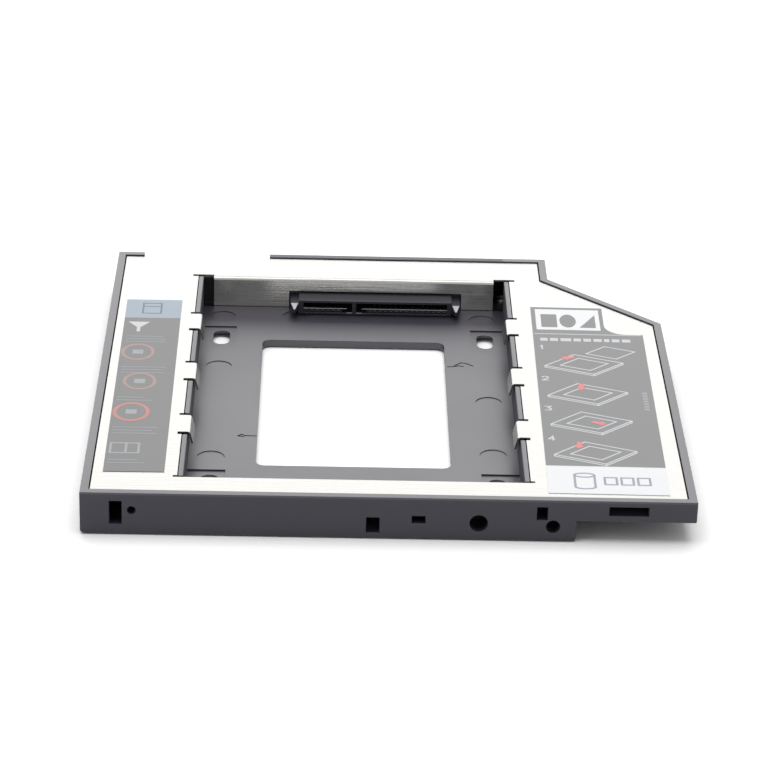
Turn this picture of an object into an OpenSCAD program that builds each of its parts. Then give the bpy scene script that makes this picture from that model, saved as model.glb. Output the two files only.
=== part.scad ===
// Slim drive caddy: a moulded tray with a folded sheet plate, a drive socket and a host plug.
// Sizes are in millimetres. x runs from the left side, y from the front face, z from the underside.

/* [Tray envelope] */
// Width of the caddy, the standard slim bay width
tray_w = 128; // [126:0.5:132]
// Depth from the front face to the rear rim
tray_d = 126.1; // [126:0.1:130]
// Overall height
tray_h = 9.5; // [9.5:0.1:12.7]
// Width of the full-height part; the rest is the thin right wing
main_w = 103; // [102:0.5:106]
// Thickness of the right wing
wing_t = 4.8; // [4.2:0.1:6]
// Distance from the rear at which the cut-off corner starts on the right side
cut_start_back = 36.4; // [26:0.1:46]
// Distance from the rear at which the cut-off corner meets the rear step
cut_end_back = 11.9; // [8:0.1:18]
// Rounding of the long lower edges
edge_r = 0.8; // [0.3:0.1:1.2]

/* [Tray walls] */
// Wall thickness of the outer rim
rim_t = 1.75; // [1.2:0.05:2.2]
// Floor thickness under the drive
floor_t = 1.8; // [1.5:0.1:2.2]
// Floor thickness under the plate and the circuit board
deck_t = 1.2; // [0.9:0.1:1.4]
// Thickness of the bay walls
bay_wall_t = 1.05; // [0.8:0.05:1.4]
// Thickness of the hidden ribs that carry the plate
rib_t = 0.9; // [0.6:0.1:1.4]
// Distance between hidden ribs, at most
rib_pitch = 19; // [14:1:30]

/* [Drive bay] */
// Left inner face of the bay
bay_x = 21; // [20:0.1:22]
// Width of the bay: a 69.85 mm drive and its spring tabs
bay_w = 71.5; // [71:0.1:73]
// Near inner face of the bay
bay_y = 8.1; // [7.5:0.1:9]
// Depth of the strip behind the bay, from the face of the sheet flange to the rear
rear_l = 13.6; // [13:0.1:15]
// Margin of the floor window from each side wall of the bay
window_side = 14.6; // [12:0.1:20]
// Margin of the floor window from the near bay wall
window_near = 20.8; // [16:0.1:26]
// Margin of the floor window from the sheet flange
window_far = 19; // [16:0.1:30]
// Corner radius of the floor window
window_r = 2; // [1:0.1:4]

/* [Drive screw slots] */
// Distance of each row of slots from its bay wall; the rows lie 61.72 mm apart, the 2.5 inch drive standard
slot_side = 4.89; // [4.5:0.01:5.5]
// Distance of the near slots from the near bay wall
slot_from_front = 12.7; // [11:0.1:15]
// Distance of the far slots from the sheet flange
slot_from_flange = 17.4; // [15:0.1:20]
// Width of a slot
slot_w = 3.8; // [3.2:0.1:4.4]
// Overall length of a slot
slot_l = 7.4; // [6:0.1:9]
// Width of the screw head recess in the underside
head_w = 6.4; // [5.6:0.1:7.2]
// Depth of the screw head recess
head_depth = 0.8; // [0.4:0.1:1]
// Depth of the shallow pad round each slot, on top of the floor
pad_depth = 0.3; // [0.1:0.05:0.5]
// Distance from the bay wall to the inner edge of a pad
pad_w = 8.25; // [7.5:0.05:9]
// Length of a pad beyond the slot's centre, towards the rear
pad_far = 5.6; // [4.5:0.1:7]
// Length of a pad in front of the slot's centre
pad_near = 7.6; // [5:0.1:9]
// Radius of the round ejector marks in the floor
mark_r = 3; // [2:0.1:4]
// Depth of the ejector marks
mark_depth = 0.15; // [0.05:0.05:0.3]
// Distance of the ejector marks from the left and right bay wall
mark_side = [4.85, 5.3]; // [4:0.05:8]
// Distances of the ejector marks behind the far slots
marks_by_far_slot = [11.2, -16.6]; // [-20:0.1:14]
// Distances of the ejector marks behind the near slots
marks_by_near_slot = [40.9, 14.5, 11.6]; // [10:0.1:44]
// Place of the middle ejector mark: from the left bay wall and from the flange
mark_middle = [21.9, 5.5]; // [4:0.1:30]

/* [Front face openings] */
// Left latch slot: left edge, lower edge, width, height
slot_latch = [6.1, 2.25, 2.6, 5.3]; // [0:0.05:130]
// Square bezel slot: left edge, lower edge, width, height
slot_square = [59.35, 1.2, 2.75, 3.55]; // [0:0.05:130]
// Flat bezel slot: left edge, lower edge, width, height
slot_flat = [68.8, 3.6, 2.8, 1.65]; // [0:0.05:130]
// Upright bezel slot: left edge, lower edge, width, height
slot_upright = [94.7, 4.8, 2.25, 3]; // [0:0.05:130]
// Wide slot in the wing: left edge, lower edge, width, height
slot_wing = [109.7, 6.05, 8.25, 2.05]; // [0:0.05:130]
// Large round bezel hole: centre from the left side and from the underside
hole_main = [82.7, 3.8]; // [0:0.05:130]
// Radius of the large round hole
hole_main_r = 1.9; // [1.5:0.05:2.3]
// Small round bezel hole: centre from the left side and from the underside
hole_side = [98.15, 3.3]; // [0:0.05:130]
// Radius of the small round hole
hole_side_r = 1.45; // [1:0.05:1.6]
// Pin hole beside the latch slot: centre from the left side and from the underside
hole_pin = [10.7, 5.5]; // [0:0.05:130]
// Radius of the pin hole
hole_pin_r = 0.88; // [0.6:0.02:1.2]

/* [Rear bracket holes] */
// Right hole's centre from the right side of the full-height part
bracket_side = 6; // [5:0.5:12]
// Distance between the two holes
bracket_dx = 45; // [38:0.5:46]
// Radius of the holes
bracket_hole_r = 0.8; // [0.6:0.05:1]
// Radius of the bosses behind the rim
bracket_boss_r = 2; // [1.5:0.1:2.2]
// Length of the bosses
bracket_boss_l = 3; // [2:0.1:3.5]

/* [Sheet plate] */
// Thickness of the sheet
sheet_t = 0.4; // [0.3:0.05:0.5]
// Drop of the plate below the rim
plate_drop = 0.3; // [0.1:0.05:0.4]
// Gap between the plate and the rim
plate_gap = 0.28; // [0.15:0.01:0.4]
// Gap between the plate's edge and the outer face of the bay wall
wall_gap = 0.2; // [0.1:0.05:0.4]
// Inner radius of every fold
fold_r = 0.35; // [0.25:0.05:0.5]
// Length of a spring tab along the bay wall
tab_l = 8.05; // [6:0.05:10]
// Near end of the first tab, from the near bay wall
tab_start = 21.5; // [18:0.1:24]
// Far end of the last tab, from the flange
tab_end = 21.45; // [18:0.05:24]
// Number of spring tabs on each side
tab_count = 3; // [1:1:3]
// Length of the leaf that hangs into the bay
leaf_l = 2.3; // [1.6:0.1:2.8]
// Angle through which a spring tab is folded
leaf_fold = 75; // [68:1:82]
// Width of the relief notch at the far end of a tab
notch_far = 0.95; // [0.6:0.05:1.3]
// Width of the relief notch at the near end of a tab
notch_near = 1.25; // [0.6:0.05:1.5]
// Reach of a relief notch into the plate
notch_reach = 0.9; // [0.5:0.05:1.2]
// Depth of the wall's saddle under a tab
saddle_depth = 1.6; // [1:0.1:2]
// Gap between the flange and each bay wall
flange_gap = 2.45; // [1.5:0.05:3]
// Width of the slit at each end of the flange
slit_w = 1; // [0.8:0.05:1.3]
// Reach of that slit past the bay opening's corner
slit_past = 1.3; // [0.8:0.05:1.8]

/* [Circuit board] */
// Thickness of the board
board_t = 0.8; // [0.6:0.1:1]
// Left edge of the board
board_x = 4; // [3:0.1:4.6]
// Distance of the board's right edge from the right side of the full-height part
board_side = 7; // [4:0.5:9]
// Gap between the board and the flange
board_gap = 0.4; // [0.3:0.05:0.6]
// Gap between the board and the rear rim
board_rear_gap = 0.85; // [0.4:0.05:1]
// Shank radius of the board screws
screw_r = 0.8; // [0.7:0.05:1]
// Head radius of the board screws
screw_head_r = 1.8; // [1.5:0.05:1.9]
// Head height of the board screws
screw_head_h = 0.8; // [0.6:0.05:1]
// Radial clearance of a screw in its holes
screw_clear = 0.05; // [0.03:0.01:0.1]

/* [Drive socket] */
// Offset of the socket from the bay's middle
socket_offset = 5.15; // [4.8:0.05:5.4]
// Half width of the socket's nose
nose_half = 18.2; // [17.8:0.05:18.6]
// Height of the nose above the board
nose_h = 3.55; // [3.4:0.05:3.8]
// Reach of the nose in front of the flange
nose_reach = 4.5; // [3.5:0.1:5.5]
// Half width of the socket's base behind the flange
base_half = 20.8; // [20.6:0.05:21.2]
// Depth of the base
base_d = 4.7; // [4:0.1:5.5]
// Height of the base above the board
base_h = 4; // [3.8:0.1:5]
// Width of a guide post
post_w = 1.95; // [1.6:0.05:2.1]
// Height of a guide post's upper face above the board
post_top = 2.85; // [2.4:0.05:3.2]
// Height of a guide post
post_h = 1.95; // [1.6:0.05:2.2]
// Reach of a guide post in front of the nose
post_reach = 2; // [1.2:0.1:3]
// Height of the contact lip above the board
lip_z = 1.55; // [1.45:0.05:1.65]
// Height of the slot above the lip
slot_h = 1.35; // [1.25:0.05:1.45]
// Width of the keyed leg of each slot
key_w = 2.4; // [1.8:0.1:2.6]
// Pitch of the drive contacts
drive_pitch = 1.27; // [1.2:0.01:1.3]
// Width of a drive contact
drive_contact_w = 0.5; // [0.4:0.05:0.6]
// Thickness of a drive contact
drive_contact_t = 0.2; // [0.15:0.01:0.25]

/* [Host plug] */
// Left edge of the gap in the rear rim
port_x = 6.2; // [6:0.1:7]
// Width of the gap in the rear rim
port_w = 30.2; // [30:0.1:31]
// Gap between the plug and the sides of the rim's gap
port_gap = 0.4; // [0.3:0.05:0.6]
// Depth of the plug's block
plug_block_d = 4; // [3.5:0.1:4.5]
// Height of the plug above the board
plug_h = 5.8; // [5.4:0.1:6.2]
// Width of a side arm
arm_w = 2.2; // [1.8:0.1:2.8]
// Setback of the side arms from the rear face
arm_back = 0.3; // [0.2:0.1:1]
// Setback of the tongues from the side arms' ends
tongue_back = 0.8; // [0.5:0.1:1.5]
// Height of the tongues' upper face above the board
tongue_z = 3.2; // [3:0.1:3.6]
// Thickness of the tongues
tongue_t = 1.2; // [1:0.05:1.4]
// Pitch of the power contacts of the host plug
host_power_pitch = 1; // [0.9:0.01:1.05]
// Width of a host contact
host_contact_w = 0.5; // [0.4:0.05:0.6]
// Thickness of a host contact
host_contact_t = 0.12; // [0.1:0.01:0.2]

/* [Labels] */
// Thickness of the labels
label_t = 0.1; // [0.05:0.01:0.15]
// Left label's margins: to the left side, the front, the bay opening and the rear
left_label_margins = [4.15, 10.2, 2.75, 27.8]; // [2:0.05:40]
// Tilt of the left label
left_label_tilt = 0.27; // [-0.5:0.01:0.5]
// Right label's margins: to the bay opening, the front, the right side and the rear
right_label_margins = [3.4, 3.8, 5.45, 27.9]; // [2:0.05:40]
// Tilt of the right label
right_label_tilt = -0.55; // [-0.7:0.01:0.5]
// Width of the cut-out in the right label's upper corner
right_label_cut_w = 8.7; // [5:0.1:11]
// Length of that cut-out
right_label_cut_l = 14.5; // [12:0.1:18]
// Radius of its hollow curve
right_label_cut_r = 4.8; // [3:0.1:6]

/* [Hidden] */
$fn = 48;
over = 1;
touch = 0.01;

// Outline of the tray, anticlockwise from the front left corner
cut_start_y = tray_d - cut_start_back;
cut_end_y = tray_d - cut_end_back;
outline = [
    [0, 0], [tray_w, 0], [tray_w, cut_start_y],
    [main_w, cut_end_y], [main_w, tray_d], [0, tray_d]
];
plate_top = tray_h - plate_drop;
plate_z = plate_top - sheet_t;
wing_z = tray_h - wing_t;
bay_end_x = bay_x + bay_w;
bay_mid_x = bay_x + bay_w / 2;
flange_y = tray_d - rear_l;
bay_l = flange_y - bay_y;
window_x = bay_x + window_side;
window_y = bay_y + window_near;
window_w = bay_w - 2 * window_side;
window_l = bay_l - window_near - window_far;
slot_far_y = flange_y - slot_from_flange;
slot_near_y = bay_y + slot_from_front;
slot_dx = bay_w - 2 * slot_side;
tab_pitch = (bay_l - tab_start - tab_end - tab_l) / max(1, tab_count - 1);
ledge = 0.3;
fold_out = fold_r + sheet_t;
plate_bay_x = bay_x - bay_wall_t - wall_gap;
plate_bay_end_x = bay_end_x + bay_wall_t + wall_gap;
plate_bay_y = bay_y + 0.2;
board_l = main_w - board_side - board_x;
board_z = deck_t + board_t;
board_y = flange_y + sheet_t + board_gap;
board_d = tray_d - rim_t - board_rear_gap - board_y;
socket_x = bay_mid_x + socket_offset;
nose_y = flange_y - nose_reach;
base_y = board_y;
base_end_y = base_y + base_d;
base_gap = 0.4;
flange_foot_gap = 0.3;
lip_front = 0.9;
lip_t = 0.25;
slot_depth = nose_reach + 1.5;
signal_slot = [-17.05, -5.5];
power_slot = [-4.5, 17.1];
drive_signal_count = 7;
drive_power_count = 15;
channel_side = 0.12;
channel_z = board_z + 0.55;
plug_x = port_x + port_gap;
plug_w = port_w - 2 * port_gap;
plug_y = board_y + 2.1;
plug_block_end_y = plug_y + plug_block_d;
arm_end_y = tray_d - arm_back;
tongue_end_y = arm_end_y - tongue_back;
tongue_top = board_z + tongue_z;
// Tongue ends and their keyed legs, from the plug's left edge
host_signal_tongue = [3.7, 14];
host_power_tongue = [16, 24];
host_key_w = 1.2;
host_key_drop = 1;
host_signal_count = 7;
host_power_count = 6;
clip_t = 0.3;
clip_l = 2.4;
clip_h = 2.4;
clip_foot = 1.6;
screw_left = [(plug_x + plug_w + socket_x - base_half) / 2, board_y + board_d - 2.15];
screw_right = [board_x + board_l - 3.6, board_y + board_d / 2];
chip_x = (socket_x + base_half + screw_right[0]) / 2 - 0.5;
capacitor_size = [3.2, 1.6, 1.2];
resistor_size = [1.6, 0.8, 0.45];
capacitor_y = [board_y + 2.1, board_y + 4.9];

function numbered(stem, count) = [for (i = [1:count]) str(stem, i)];

// The row's origin is under the middle of the caddy
module place() translate([-tray_w / 2, -tray_d / 2, 0]) children();

// An outline moved inwards by a distance, edge by edge
function edge_dir(p, i) = let (d = p[(i + 1) % len(p)] - p[i]) d / norm(d);
function inset(p, by) = [
    for (i = [0:len(p) - 1])
        let (
            a = edge_dir(p, (i + len(p) - 1) % len(p)),
            b = edge_dir(p, i),
            turn = a[0] * b[1] - a[1] * b[0],
            slide = (1 - (a[0] * b[0] + a[1] * b[1])) / turn
        )
        p[i] + by * [-a[1], a[0]] - by * slide * a
];

// A box from its low corner to its high corner
module span(low, high) translate(low) cube(high - low);

// A rectangle with round corners, from its low corner
module round_rect(w, l, r) {
    translate([r, 0]) square([w - 2 * r, l]);
    translate([0, r]) square([w, l - 2 * r]);
    for (x = [r, w - r], y = [r, l - r]) translate([x, y]) circle(r);
}

// A rectangle with only its two lower corners round
module round_foot(w, h, r) {
    translate([0, r]) square([w, h - r]);
    translate([r, 0]) square([w - 2 * r, h]);
    for (x = [r, w - r]) translate([x, r]) circle(r);
}

// A slot that runs along y, by its width and overall length
module stadium(w, l) {
    square([w, l - w], center = true);
    for (side = [-1, 1]) translate([0, side * (l - w) / 2]) circle(w / 2);
}

// A ring's sector, from the y direction clockwise through an angle
module ring_sector(r_in, r_out, angle) {
    intersection() {
        difference() {
            circle(r_out);
            circle(r_in);
        }
        polygon([
            [0, 0], [0, 2 * r_out],
            [2 * r_out, 2 * r_out],
            2 * r_out * [sin(angle), cos(angle)]
        ]);
    }
}

// Turns a profile drawn in y and z so that it runs along x
module along_x(length) rotate([90, 0, 90]) linear_extrude(length) children();

// Turns a profile drawn in x and z so that it runs along y
module along_y(length) translate([0, length, 0]) rotate([90, 0, 0]) linear_extrude(length) children();

// Evenly spaced cells between two corners, with ribs left between them along y
module cells(low, high) {
    count = max(1, ceil((high[1] - low[1]) / rib_pitch));
    cell = (high[1] - low[1] - (count - 1) * rib_t) / count;
    for (i = [0:count - 1])
        translate([low[0], low[1] + i * (cell + rib_t), low[2]])
            cube([high[0] - low[0], cell, high[2] - low[2]]);
}

// Solid envelope of the tray: full height on the left, thin wing on the right
module tray_envelope() {
    intersection() {
        linear_extrude(tray_h) polygon(outline);
        along_y(tray_d) {
            round_foot(main_w, tray_h, edge_r);
            translate([bay_end_x, wing_z]) round_foot(tray_w - bay_end_x, wing_t, edge_r / 2);
        }
    }
}

// Hollows under the plate, with the ribs that carry it left standing
module tray_hollows() {
    top = plate_z + touch;
    wall_x = bay_x - bay_wall_t;
    wall_end_x = bay_end_x + bay_wall_t;
    channel_end_y = flange_y - 1.1;
    cells([rim_t, rim_t, deck_t], [wall_x, channel_end_y, top]);
    cells([wall_end_x, rim_t, deck_t], [main_w - rim_t, channel_end_y, top]);
    front_cells = 4;
    front_cell = (wall_end_x - wall_x - 2 * rib_t - (front_cells - 1) * rib_t) / front_cells;
    for (i = [0:front_cells - 1])
        translate([wall_x + rib_t + i * (front_cell + rib_t), rim_t, deck_t])
            cube([front_cell, bay_y - bay_wall_t - rim_t, top - deck_t]);
    intersection() {
        linear_extrude(tray_h) polygon(inset(outline, rim_t));
        cells([main_w, rim_t, wing_z + deck_t], [tray_w, cut_end_y, top]);
    }
    // Board space behind the bay
    span([rim_t, channel_end_y + rib_t, deck_t], [wall_x, tray_d - rim_t, top]);
    span([wall_end_x, channel_end_y + rib_t, deck_t], [main_w - rim_t, tray_d - rim_t, top]);
    span([wall_x - touch, flange_y + ledge, deck_t], [wall_end_x + touch, tray_d - rim_t, top]);
    span([bay_x, flange_y - ledge, deck_t], [bay_end_x, tray_d - rim_t, top]);
}

// Side walls of the bay above the plate's underside, with a saddle under each spring tab
module bay_wall_tops() {
    for (x = [bay_x - bay_wall_t, bay_end_x])
        span([x, bay_y + 0.8, plate_z - touch], [x + bay_wall_t, flange_y + ledge, plate_top]);
}

module tab_saddles() {
    reach = bay_wall_t + wall_gap + notch_reach;
    for (i = [0:tab_count - 1]) {
        near_y = bay_y + tab_start + i * tab_pitch - notch_near;
        far_y = near_y + notch_near + tab_l + notch_far;
        for (x = [bay_x - reach, bay_end_x - touch])
            span([x, near_y, plate_z - saddle_depth], [x + reach + touch, far_y, tray_h + over]);
    }
}

// The four slots for the drive's screws, at their centres
module at_drive_slots() {
    for (side = [-1, 1], y = [slot_near_y, slot_far_y])
        translate([bay_mid_x + side * slot_dx / 2, y, 0]) children();
}

// What is cut out of the bay floor
module floor_cuts() {
    translate([window_x, window_y, -over])
        linear_extrude(floor_t + 2 * over) round_rect(window_w, window_l, window_r);
    at_drive_slots() {
        translate([0, 0, -over]) linear_extrude(floor_t + 2 * over) stadium(slot_w, slot_l);
        translate([0, 0, -over])
            linear_extrude(over + head_depth) stadium(head_w, slot_l + head_w - slot_w);
    }
    for (x = [bay_x, bay_end_x - pad_w], y = [slot_near_y, slot_far_y])
        span([x, y - pad_near, floor_t - pad_depth], [x + pad_w, y + pad_far, floor_t + over]);
    far_marks = slot_far_y * [1, 1] + marks_by_far_slot;
    near_marks = slot_near_y * [1, 1, 1] + marks_by_near_slot;
    for (y = [far_marks[0], far_marks[1], near_marks[2]]) floor_mark(bay_x + mark_side[0], y);
    for (y = [far_marks[0], near_marks[0], near_marks[1]]) floor_mark(bay_end_x - mark_side[1], y);
    floor_mark(bay_x + mark_middle[0], flange_y - mark_middle[1]);
}

module floor_mark(x, y) translate([x, y, floor_t - mark_depth]) cylinder(r = mark_r, h = mark_depth + over);

// What is cut through the front wall
module front_cuts() {
    for (s = [slot_latch, slot_square, slot_flat, slot_upright, slot_wing])
        span([s[0], -over, s[1]], [s[0] + s[2], rim_t + touch, s[1] + s[3]]);
    round_cut(hole_main, hole_main_r);
    round_cut(hole_side, hole_side_r);
    round_cut(hole_pin, hole_pin_r);
}

module round_cut(at, r)
    translate([at[0], rim_t + touch, at[1]]) rotate([90, 0, 0]) cylinder(r = r, h = rim_t + touch + over);

// Cylinders from the rear face inwards, at the two bracket holes
module at_bracket_holes(r, length)
    for (x = [main_w - bracket_side - bracket_dx, main_w - bracket_side])
        translate([x, tray_d, tray_h / 2]) rotate([90, 0, 0]) cylinder(r = r, h = length);

module tray() {
    color("#343236") place() {
        difference() {
            union() {
                at_bracket_holes(bracket_boss_r, rim_t + bracket_boss_l);
                difference() {
                    tray_envelope();
                    translate([0, 0, plate_z]) linear_extrude(tray_h) polygon(inset(outline, rim_t));
                    tray_hollows();
                    span([bay_x, bay_y, floor_t], [bay_end_x, flange_y - ledge + touch, tray_h]);
                    floor_cuts();
                    front_cuts();
                }
                bay_wall_tops();
            }
            tab_saddles();
            translate([0, over, 0]) at_bracket_holes(bracket_hole_r, over + rim_t + bracket_boss_l);
            // Gap in the rear rim for the host plug
            span([port_x, tray_d - rim_t - touch, deck_t], [port_x + port_w, tray_d + over, tray_h + over]);
            for (at = [screw_left, screw_right])
                translate([at[0], at[1], -over]) cylinder(r = screw_r + screw_clear, h = deck_t + 2 * over);
        }
    }
}

// Flat blank of the plate, with the bay opening, the relief notches and the rear tongue
module plate_blank() {
    difference() {
        union() {
            polygon(inset(outline, rim_t + plate_gap));
            translate([port_x + port_gap, tray_d - rim_t - 3]) square([port_w - 2 * port_gap, rim_t + 3]);
        }
        translate([plate_bay_x, plate_bay_y])
            square([plate_bay_end_x - plate_bay_x, flange_y + fold_out - plate_bay_y]);
        for (x = [plate_bay_x - notch_reach, plate_bay_end_x - touch]) {
            for (i = [0:tab_count - 1]) {
                near_y = bay_y + tab_start + i * tab_pitch;
                translate([x, near_y - notch_near]) square([notch_reach + touch, notch_near]);
                translate([x, near_y + tab_l]) square([notch_reach + touch, notch_far]);
            }
            translate([x, plate_bay_y]) square([notch_reach + touch, 0.8]);
        }
        // Slits that free the ends of the flange
        slit_l = slit_past + wall_gap + bay_wall_t + flange_gap;
        for (x = [plate_bay_x - slit_past, bay_end_x - flange_gap])
            translate([x, flange_y + sheet_t]) square([slit_l, slit_w]);
    }
}

// Profile of a spring tab across the left wall: a flat run, a fold and a hanging leaf
module tab_profile() {
    centre_x = bay_x - 0.1;
    translate([plate_bay_x - 0.5, plate_z]) square([centre_x - plate_bay_x + 0.5, sheet_t]);
    translate([centre_x, plate_top - fold_out]) {
        ring_sector(fold_r, fold_out, leaf_fold);
        rotate(-leaf_fold) translate([-touch, fold_r]) square([leaf_l + touch, sheet_t]);
    }
}

module spring_tabs() {
    for (i = [0:tab_count - 1])
        translate([0, bay_y + tab_start + i * tab_pitch, 0]) along_y(tab_l) tab_profile();
}

// Profile of the flange, drawn in y and z
module flange_profile() {
    bottom = deck_t + flange_foot_gap;
    translate([flange_y, bottom]) square([sheet_t, plate_top - fold_out - bottom]);
    translate([flange_y + fold_out, plate_top - fold_out]) mirror([1, 0]) ring_sector(fold_r, fold_out, 90);
}

module top_plate() {
    cut_x = socket_x - nose_half - post_w - base_gap;
    cut_w = 2 * (nose_half + post_w + base_gap);
    color("#e4e3de") place() {
        difference() {
            union() {
                translate([0, 0, plate_z]) linear_extrude(sheet_t) plate_blank();
                spring_tabs();
                translate([2 * bay_mid_x, 0, 0]) mirror([1, 0, 0]) spring_tabs();
                translate([bay_x + flange_gap, 0, 0]) along_x(bay_w - 2 * flange_gap) flange_profile();
            }
            translate([cut_x, flange_y - over, 0]) cube([cut_w, sheet_t + 2 * over, board_z + nose_h + base_gap]);
        }
    }
}

module circuit_board() {
    color("#1f5d3a") place() {
        difference() {
            translate([board_x, board_y, deck_t]) cube([board_l, board_d, board_t]);
            for (at = [screw_left, screw_right])
                translate([at[0], at[1], deck_t - over]) cylinder(r = screw_r + screw_clear + 0.2, h = board_t + 2 * over);
        }
    }
}

// Slot with its keyed leg; the leg is at the right end of the signal slot and the left end of the power slot
module socket_slot(from, to, key_at) {
    translate([socket_x, nose_y - over, board_z]) {
        translate([from, 0, lip_z]) cube([to - from, slot_depth + over, slot_h]);
        translate([key_at, 0, lip_z - 1.1]) cube([key_w, slot_depth + over, slot_h + 1.1]);
    }
}

// Guide post of the socket: a square bar that narrows to a point, drawn about its middle
module guide_post() {
    length = base_y + touch - nose_y + post_reach;
    tip = post_reach;
    intersection() {
        linear_extrude(post_h) polygon([
            [-post_w / 2, length], [-post_w / 2, tip], [-0.2, 0],
            [0.2, 0], [post_w / 2, tip], [post_w / 2, length]
        ]);
        translate([-post_w, 0, 0]) along_x(2 * post_w) polygon([
            [length, 0], [0, 0], [0, post_h * 0.55], [tip, post_h], [length, post_h]
        ]);
    }
}

function drive_signal_x(i) = socket_x + (signal_slot[0] + signal_slot[1] - key_w) / 2
    + (i - (drive_signal_count - 1) / 2) * drive_pitch;
function drive_power_x(i) = socket_x + (power_slot[0] + key_w + power_slot[1]) / 2
    + (i - (drive_power_count - 1) / 2) * drive_pitch;

// Channel of one drive contact: under the lip, open to the slot, and out at the back
module contact_channel(x) {
    w = drive_contact_w + 2 * channel_side;
    lip_low = board_z + lip_z - lip_t;
    translate([x - w / 2, 0, 0]) {
        span([0, nose_y - over, channel_z], [w, base_end_y + over, lip_low]);
        span([0, nose_y + lip_front, channel_z], [w, nose_y + slot_depth, board_z + lip_z + touch]);
        span([0, base_end_y - 1.4, board_z - over], [w, base_end_y + over, lip_low]);
    }
}

module drive_socket() {
    color("#26252b") place() {
        difference() {
            union() {
                translate([socket_x - base_half, base_y, board_z]) cube([2 * base_half, base_d, base_h]);
                translate([socket_x - nose_half, nose_y, board_z])
                    cube([2 * nose_half, base_y + touch - nose_y, nose_h]);
                for (side = [-1, 1])
                    translate([
                        socket_x + side * (nose_half + post_w / 2),
                        nose_y - post_reach,
                        board_z + post_top - post_h
                    ]) guide_post();
            }
            socket_slot(signal_slot[0], signal_slot[1], signal_slot[1] - key_w);
            socket_slot(power_slot[0], power_slot[1], power_slot[0]);
            for (i = [0:drive_signal_count - 1]) contact_channel(drive_signal_x(i));
            for (i = [0:drive_power_count - 1]) contact_channel(drive_power_x(i));
        }
    }
}

// A drive contact: solder tail on the board, beam under the slot, crest in the slot, tip under the lip
module drive_contact(x) {
    lower = [
        [base_end_y + 1.3, board_z],
        [base_end_y - 0.1, board_z],
        [base_end_y - 1, channel_z + 0.05],
        [nose_y + slot_depth - 1, channel_z + 0.05],
        [nose_y + 2.4, board_z + lip_z + 0.15],
        [nose_y + 0.4, board_z + 0.8]
    ];
    upper = [for (i = [len(lower) - 1:-1:0]) lower[i] + [0, drive_contact_t]];
    color("#c9a45a") place()
        translate([x - drive_contact_w / 2, 0, 0]) along_x(drive_contact_w) polygon(concat(lower, upper));
}

// Tongue of the host plug with its keyed leg, from the plug's left edge
module host_tongue(from, to, key_at) {
    depth = tongue_end_y - plug_block_end_y + touch;
    translate([plug_x, plug_block_end_y - touch, tongue_top - tongue_t]) {
        translate([from, 0, 0]) cube([to - from, depth, tongue_t]);
        translate([key_at, 0, -host_key_drop]) cube([host_key_w, depth, host_key_drop + tongue_t]);
    }
}

function host_signal_x(i) = plug_x + (host_signal_tongue[0] + host_signal_tongue[1] - host_key_w) / 2
    + (i - (host_signal_count - 1) / 2) * drive_pitch;
function host_power_x(i) = plug_x + (host_power_tongue[0] + host_key_w + host_power_tongue[1]) / 2
    + (i - (host_power_count - 1) / 2) * host_power_pitch;

// Hole through the plug's block for one contact
module host_channel(x) {
    w = host_contact_w + 2 * channel_side;
    span([x - w / 2, plug_y - over, tongue_top], [x + w / 2, plug_block_end_y + over, tongue_top + 2 * host_contact_t]);
}

module host_plug() {
    color("#26252b") place() {
        difference() {
            union() {
                translate([plug_x, plug_y, board_z]) cube([plug_w, plug_block_d, plug_h]);
                host_tongue(host_signal_tongue[0], host_signal_tongue[1], host_signal_tongue[1] - host_key_w);
                host_tongue(host_power_tongue[0], host_power_tongue[1], host_power_tongue[0]);
            }
            for (i = [0:host_signal_count - 1]) host_channel(host_signal_x(i));
            for (i = [0:host_power_count - 1]) host_channel(host_power_x(i));
        }
        for (side = [0, 1])
            translate([plug_x + side * plug_w, plug_block_end_y - touch, board_z])
                mirror([side, 0, 0])
                    linear_extrude(plug_h) polygon([
                        [0, 0], [arm_w, 0], [arm_w, arm_end_y - plug_block_end_y - 1.2],
                        [arm_w / 2, arm_end_y - plug_block_end_y + touch], [0, arm_end_y - plug_block_end_y + touch]
                    ]);
    }
}

// A host contact: strip on the tongue, through the block and down to a foot on the board
module host_contact(x) {
    back = plug_y - 0.05;
    foot = 1.3;
    t = host_contact_t;
    color("#c9a45a") place()
        translate([x - host_contact_w / 2, 0, 0]) along_x(host_contact_w) polygon([
            [tongue_end_y - 0.4, tongue_top], [tongue_end_y - 0.4, tongue_top + t],
            [back - t, tongue_top + t], [back - t, board_z + t],
            [back - foot, board_z + t], [back - foot, board_z],
            [back, board_z], [back, tongue_top]
        ]);
}

// A hold-down: a plate against the end of a connector and a foot soldered to the board
module clip(x, y, side) {
    color("#b8b6b0") place()
        translate([x, y, board_z]) mirror([side, 0, 0]) along_y(clip_l)
            polygon([[0, 0], [clip_foot, 0], [clip_foot, clip_t], [clip_t, clip_t], [clip_t, clip_h], [0, clip_h]]);
}

module drive_socket_clip_left() clip(socket_x - base_half, base_y + 1, 1);
module drive_socket_clip_right() clip(socket_x + base_half, base_y + 1, 0);
module host_plug_clip_left() clip(plug_x, plug_y + 0.8, 1);
module host_plug_clip_right() clip(plug_x + plug_w, plug_y + 0.8, 0);

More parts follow.
